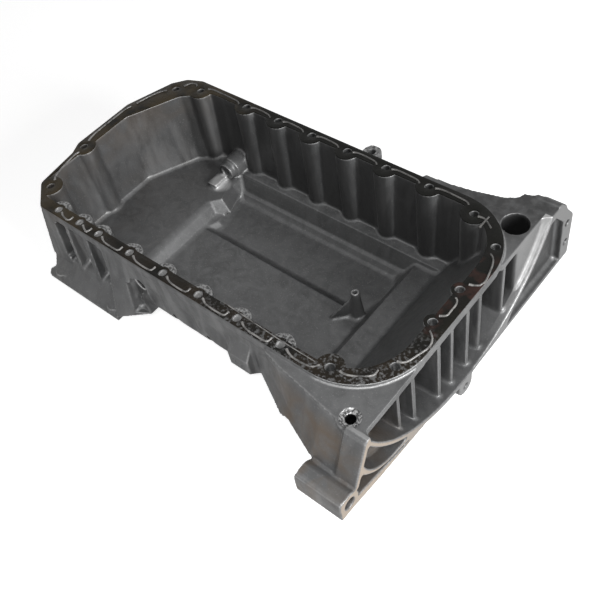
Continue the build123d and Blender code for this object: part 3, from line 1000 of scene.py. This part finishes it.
@dataclass
class RimGasket:
    """The moulded gasket on the rim and the sealing beads on it.

    Attributes:
        edge: width of the softened edges.
        sharp: least angle of an edge that is softened.
        smooth: least angle of an edge that stays crisp in shading.
        bead: radius of a bead.
        bead_height: height of a bead's middle.
        dot: share by which a bead's first end is thicker.
        seam_height: height of the seam's middle.
        seam_share: the seam's thickness as a share of a bead's.
        side_row: distance of the side screws from the middle line, in millimetres.
        side_screws: x of the screws that both sides share, in millimetres.
        near_front: x of the near side's screws in front of them.
        far_front: x of the far side's screw in front of them.
        far_rear: x of the far side's screw behind them.
    """

    edge: float = 0.35 * MM
    sharp: float = math.radians(50)
    smooth: float = math.radians(40)
    bead: float = 0.85 * MM
    bead_height: float = 1.45 * MM
    dot: float = 1.45
    seam_height: float = 1.2 * MM
    seam_share: float = 0.55
    side_row: float = 101.8
    side_screws: tuple[float, ...] = (-109.0, -67.0, -24.5, 18.5, 62.5, 109.0)
    near_front: tuple[float, ...] = (-166.0, -135.5)
    far_front: float = -169.0
    far_rear: float = 159.5

    def near_bead(self, start: float, end: float) -> Track:
        """Lays a bead between two screws of the near row, with a hook before the second.

        Args:
            start: x of the first screw in millimetres.
            end: x of the second.

        Returns:
            The bead's points in millimetres.
        """
        row = -self.side_row
        return [
            (start + 7, row - 1.4),
            (start + 10.5, row - 3.9),
            (start + 18, row - 5.0),
            (end - 14, row - 5.1),
            (end - 10, row - 4.4),
            (end - 9.3, row - 1.2),
            (end - 9.5, row + 0.6),
        ]

    def far_bead(self, start: float, end: float) -> Track:
        """Lays the flatter bead between two screws of the far row.

        Args:
            start: x of the first screw in millimetres.
            end: x of the second.

        Returns:
            The bead's points in millimetres.
        """
        row = self.side_row
        return [
            (start + 6.5, row - 0.2),
            (start + 9, row + 1.7),
            (start + 17, row + 2.0),
            (end - 15, row + 1.2),
            (end - 11, row + 0.2),
            (end - 9, row - 1.6),
        ]

    def front_beads(self) -> list[Track]:
        """Lays the beads round the front end, from the near corner to the far one."""
        return [
            [(-200.5, -77.5), (-205.5, -74.0), (-210.5, -48.0), (-211.5, -40.0), (-210.0, -37.5)],
            [(-214.5, -20.5), (-217.6, -17.0), (-218.0, 20.0), (-218.0, 36.0), (-215.5, 40.0)],
            [(-214.0, 46.0), (-214.0, 50.0), (-205.5, 75.0), (-200.5, 78.0)],
            [(-189.0, 92.0), (-187.5, 98.5), (-183.0, 101.0), (-178.5, 101.5), (-176.5, 98.5)],
        ]

    def rear_beads(self) -> list[Track]:
        """Lays the beads round the gearbox end, from the near corner to the far one."""
        return [
            [
                (116.2, -102.9), (120.2, -105.8), (132.9, -106.6),
                (143.0, -104.6), (145.0, -102.2), (146.4, -99.6),
            ],
            [
                (162.8, -95.5), (167.4, -96.6), (178.1, -90.9),
                (185.1, -85.6), (186.3, -82.1), (185.7, -78.8),
            ],
            [
                (192.9, -64.7), (198.7, -64.0), (202.9, -49.3), (205.6, -41.4),
                (204.0, -33.7), (199.1, -29.1), (197.4, -28.0),
            ],
            [
                (195.2, -12.3), (200.5, -9.4), (200.0, -4.5),
                (200.2, 5.0), (197.3, 9.5), (196.0, 9.3),
            ],
            [
                (197.4, 26.4), (204.3, 28.5), (206.3, 34.0), (206.0, 39.2),
                (201.5, 56.7), (196.3, 62.2), (194.7, 62.5),
            ],
            [(164.3, 92.6), (168.4, 93.8), (173.3, 92.1), (180.2, 87.0)],
            [(171.9, 81.9), (171.8, 89.8), (172.2, 96.8)],
        ]

    def tracks(self) -> list[Track]:
        """Lists every bead of the gasket.

        Returns:
            The beads' tracks in millimetres.
        """
        near = self.near_front + self.side_screws
        far = (self.far_front,) + self.side_screws + (self.far_rear,)
        tracks = [self.near_bead(start, end) for start, end in zip(near, near[1:])]
        tracks += [self.far_bead(start, end) for start, end in zip(far, far[1:])]
        return tracks + self.front_beads() + self.rear_beads()

    def seam(self) -> Track:
        """Lays the straight thin seam along the inner edge of the near side."""
        return [(44.0, -96.4), (72.0, -97.6), (98.0, -98.9), (122.0, -99.4), (142.0, -99.4)]

    def strand(self, curve: bpy.types.Curve, track: Track, height: float) -> bpy.types.Spline:
        """Adds a round strand to a curve.

        Args:
            curve: the curve that holds the strands.
            track: the strand's points in millimetres.
            height: its height in metres.

        Returns:
            The new strand.
        """
        strand = curve.splines.new("NURBS")
        strand.points.add(len(track) - 1)
        for point, (x, y) in zip(strand.points, track):
            point.co = (x * MM, y * MM, height, 1.0)
        strand.order_u = 3
        strand.use_endpoint_u = True
        return strand

    def beads(self, material: bpy.types.Material) -> bpy.types.Object:
        """Makes the raised sealing beads as one piece.

        Args:
            material: the beads' material.

        Returns:
            The new piece.
        """
        curve = bpy.data.curves.new("rim_gasket_beads", "CURVE")
        curve.dimensions = "3D"
        curve.bevel_depth = self.bead
        curve.bevel_resolution = 3
        curve.use_fill_caps = True
        curve.resolution_u = 6
        for track in self.tracks():
            self.strand(curve, track, self.bead_height).points[0].radius = self.dot
        for point in self.strand(curve, self.seam(), self.seam_height).points:
            point.radius = self.seam_share
        piece = bpy.data.objects.new("rim_gasket_beads", curve)
        bpy.context.scene.collection.objects.link(piece)
        only(piece)
        bpy.ops.object.convert(target="MESH")
        piece = bpy.context.active_object
        bpy.ops.object.shade_smooth()
        dress(piece, material)
        return piece

    def make(self, node: bpy.types.Object) -> list[bpy.types.Object]:
        """Makes the dressed gasket from its solid.

        Args:
            node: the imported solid.

        Returns:
            The sheet and its beads.
        """
        material = GasketRubber().make()
        sheet = merged_copy(node, "rim_gasket_sheet")
        corners = {"limit_method": "ANGLE", "angle_limit": self.sharp}
        apply_modifier(sheet, "BEVEL", width=self.edge, segments=2, **corners)
        only(sheet)
        bpy.ops.object.shade_smooth_by_angle(angle=self.smooth)
        dress(sheet, material)
        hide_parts(Node.GASKET.value)
        return [sheet, self.beads(BeadRubber().make())]


@dataclass(frozen=True)
class Lamp:
    """A square soft light.

    Attributes:
        name: its name.
        place: its place in metres.
        size: its side in metres.
        power: its power in watts.
    """

    name: str
    place: Place
    size: float
    power: float


@dataclass
class Studio:
    """Pale floor, soft lights and the camera."""

    floor_height: float = -107.2 * MM
    floor_size: float = 12.0
    floor_colour: Colour = (0.8, 0.8, 0.8, 1.0)
    floor_roughness: float = 0.9
    floor_glow: Band = (0.0, 0.75)
    world_level: Band = (0.07, 1.0)
    lamps: tuple[Lamp, ...] = (
        Lamp("key", (0.42, -0.36, 0.60), 0.14, 2.6),
        Lamp("side", (1.25, -0.05, 0.50), 0.5, 17.0),
        Lamp("fill", (0.1, -1.3, 0.10), 0.9, 5.5),
    )
    aim: Place = (0.02, 0.0, -0.04)
    camera_place: Place = (413.13 * MM, -334.86 * MM, 520.0 * MM)
    right: Place = (0.76469307, 0.62985618, -0.13610911)
    down: Place = (0.43294277, -0.65862127, -0.6154499)
    lens: float = 49.808
    sensor_width: float = 36.0
    nearest: float = 0.01

    def floor(self) -> None:
        """Lays the floor, with a glow that only the camera sees, so that it looks nearly white."""
        bpy.ops.object.select_all(action="DESELECT")
        bpy.ops.mesh.primitive_plane_add(size=self.floor_size, location=(0, 0, self.floor_height))
        floor = bpy.context.active_object
        floor.name = "studio_floor"
        shader = Shader("studio_floor")
        shader.surface.inputs["Base Color"].default_value = self.floor_colour
        shader.surface.inputs["Roughness"].default_value = self.floor_roughness
        glow = shader.add("ShaderNodeEmission")
        glow.inputs["Color"].default_value = WHITE
        seen = shader.add("ShaderNodeLightPath").outputs["Is Camera Ray"]
        shader.join(shader.remap(seen, (0.0, 1.0), self.floor_glow), glow.inputs["Strength"])
        mix = shader.add("ShaderNodeAddShader")
        shader.join(shader.surface.outputs[0], mix.inputs[0])
        shader.join(glow.outputs[0], mix.inputs[1])
        shader.join(mix.outputs[0], shader.tree.nodes["Material Output"].inputs["Surface"])
        floor.data.materials.append(shader.material)

    def world(self) -> None:
        """Sets a white surround that lights the object only a little."""
        world = bpy.data.worlds.new("studio")
        bpy.context.scene.world = world
        world.use_nodes = True
        tree = world.node_tree
        back = tree.nodes["Background"]
        back.inputs["Color"].default_value = WHITE
        path = tree.nodes.new("ShaderNodeLightPath")
        seen = path.outputs["Is Camera Ray"]
        for kind in ("Is Transmission Ray", "Is Glossy Ray"):
            either = tree.nodes.new("ShaderNodeMath")
            either.operation = "MAXIMUM"
            tree.links.new(seen, either.inputs[0])
            tree.links.new(path.outputs[kind], either.inputs[1])
            seen = either.outputs[0]
        level = tree.nodes.new("ShaderNodeMapRange")
        unseen, full = self.world_level
        level.inputs["To Min"].default_value = unseen
        level.inputs["To Max"].default_value = full
        tree.links.new(seen, level.inputs["Value"])
        tree.links.new(level.outputs["Result"], back.inputs["Strength"])

    def light(self, lamp: Lamp) -> None:
        """Adds a light that faces the aim.

        Args:
            lamp: its name, place, size and power.
        """
        data = bpy.data.lights.new(lamp.name, "AREA")
        data.size = lamp.size
        data.energy = lamp.power
        light = bpy.data.objects.new(lamp.name, data)
        light.location = lamp.place
        line = Vector(self.aim) - Vector(lamp.place)
        light.rotation_euler = line.to_track_quat("-Z", "Y").to_euler()
        bpy.context.scene.collection.objects.link(light)

    def camera(self) -> None:
        """Sets the camera, turned so that its right and down follow the given directions."""
        data = bpy.data.cameras.new("camera")
        data.lens = self.lens
        data.sensor_width = self.sensor_width
        data.sensor_fit = "HORIZONTAL"
        data.clip_start = self.nearest
        right = Vector(self.right).normalized()
        up = -Vector(self.down)
        up = (up - up.dot(right) * right).normalized()
        back = right.cross(up)
        camera = bpy.data.objects.new("camera", data)
        turn = Matrix((right, up, back)).transposed().to_4x4()
        camera.matrix_world = Matrix.Translation(self.camera_place) @ turn
        bpy.context.scene.collection.objects.link(camera)
        bpy.context.scene.camera = camera

    def build(self) -> None:
        """Builds the whole studio."""
        self.floor()
        self.world()
        for lamp in self.lamps:
            self.light(lamp)
        self.camera()
        bpy.context.scene.view_settings.view_transform = "Standard"


def main() -> None:
    """Builds the object and its studio."""
    logging.basicConfig(level=logging.INFO)
    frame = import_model()
    pieces = [PanCasting().make(frame["nodes"][Node.CASTING.value])]
    pieces += RimGasket().make(frame["nodes"][Node.GASKET.value])
    for piece in pieces:
        LOG.info("%s: %d faces", piece.name, len(piece.data.polygons))
    Studio().build()


if __name__ == "__main__":
    main()
